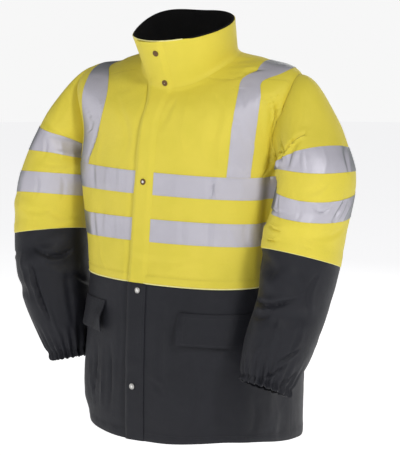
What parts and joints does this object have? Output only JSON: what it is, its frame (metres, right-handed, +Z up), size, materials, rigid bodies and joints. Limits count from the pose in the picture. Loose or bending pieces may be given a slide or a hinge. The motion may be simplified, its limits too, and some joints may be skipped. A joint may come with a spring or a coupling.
{
  "type": "hi-vis work jacket",
  "caption": "Hi-vis work jacket, yellow above and dark below, with reflective tape round body and sleeves and over the shoulders, stand collar and storm flap, filled out as worn.",
  "frame": {"origin": "middle of the neck seam, where the jacket hangs on the wearer", "axes": "+Z up, -Y the front of the jacket, +X the wearer's left"},
  "size_m": [0.8291, 0.4268, 0.9311],
  "materials": {
    "yellow_cloth": "satin",
    "dark_cloth": "satin",
    "reflective_tape": "satin",
    "black_fleece": "matte",
    "snap_metal": "polished"
  },
  "bodies": {
    "root": {"back_upper": "yellow_cloth", "front_left_upper": "yellow_cloth", "front_right_upper": "yellow_cloth", "sleeve_left_upper": "yellow_cloth", "sleeve_right_upper": "yellow_cloth", "collar_outer": "yellow_cloth", "storm_flap_upper": "yellow_cloth", "back_lower": "dark_cloth", "front_left_lower": "dark_cloth", "front_right_lower": "dark_cloth", "sleeve_left_lower": "dark_cloth", "sleeve_right_lower": "dark_cloth", "storm_flap_lower": "dark_cloth", "pocket_flap_left": "dark_cloth", "pocket_flap_right": "dark_cloth", "torso_band_upper": "reflective_tape", "torso_band_lower": "reflective_tape", "strap_left": "reflective_tape", "strap_right": "reflective_tape", "sleeve_left_band_upper": "reflective_tape", "sleeve_left_band_lower": "reflective_tape", "sleeve_right_band_upper": "reflective_tape", "sleeve_right_band_lower": "reflective_tape", "collar_lining": "black_fleece", "snap_1": "snap_metal", "snap_2": "snap_metal", "snap_3": "snap_metal", "snap_4": "snap_metal", "snap_5": "snap_metal"}
  },
  "joints": []
}
